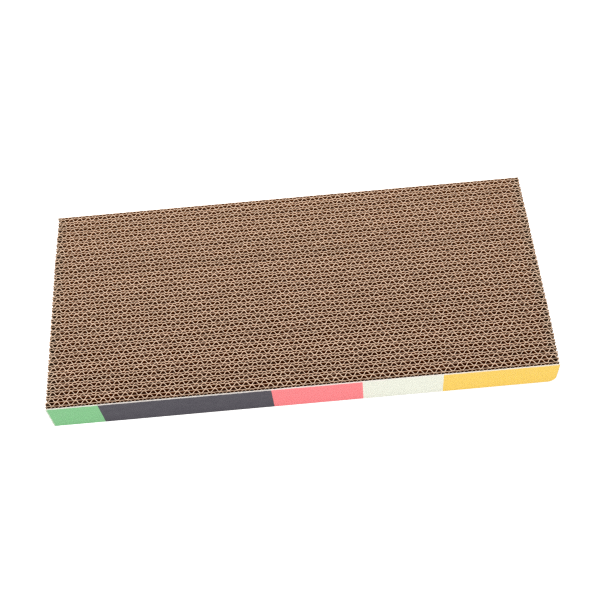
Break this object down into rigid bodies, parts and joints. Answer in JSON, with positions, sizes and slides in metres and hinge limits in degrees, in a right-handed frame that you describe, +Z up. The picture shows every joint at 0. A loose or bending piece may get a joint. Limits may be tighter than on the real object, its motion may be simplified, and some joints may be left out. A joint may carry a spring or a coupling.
{
  "type": "cardboard cat scratcher",
  "caption": "Flat rectangular cat scratching pad of corrugated board strips glued on edge, open flutes up, with a colour-block printed paper side.",
  "frame": {"origin": "middle of the bottom face, which rests on the floor", "axes": "+X along the strips, +Y across the stack from the printed front side to the back, +Z up along the flutes"},
  "size_m": [0.44, 0.2028, 0.033],
  "materials": {
    "kraft_board": "matte brown recycled paper, cut edges lighter and fibrous",
    "printed_paper": "smooth matte coated paper with colour-block print, white at its cut edge",
    "white_glue": "dried translucent dispersion adhesive"
  },
  "bodies": {
    "root": {"front_strip": "kraft_board", "core_strip_02": "kraft_board", "core_strip_03": "kraft_board", "core_strip_04": "kraft_board", "core_strip_05": "kraft_board", "core_strip_06": "kraft_board", "core_strip_07": "kraft_board", "core_strip_08": "kraft_board", "core_strip_09": "kraft_board", "core_strip_10": "kraft_board", "core_strip_11": "kraft_board", "core_strip_12": "kraft_board", "core_strip_13": "kraft_board", "core_strip_14": "kraft_board", "core_strip_15": "kraft_board", "core_strip_16": "kraft_board", "core_strip_17": "kraft_board", "core_strip_18": "kraft_board", "core_strip_19": "kraft_board", "core_strip_20": "kraft_board", "core_strip_21": "kraft_board", "core_strip_22": "kraft_board", "core_strip_23": "kraft_board", "core_strip_24": "kraft_board", "core_strip_25": "kraft_board", "core_strip_26": "kraft_board", "core_strip_27": "kraft_board", "core_strip_28": "kraft_board", "core_strip_29": "kraft_board", "core_strip_30": "kraft_board", "core_strip_31": "kraft_board", "core_strip_32": "kraft_board", "core_strip_33": "kraft_board", "back_strip": "kraft_board", "front_print_sheet": "printed_paper", "back_print_sheet": "printed_paper", "glue_films": "white_glue"}
  },
  "joints": []
}
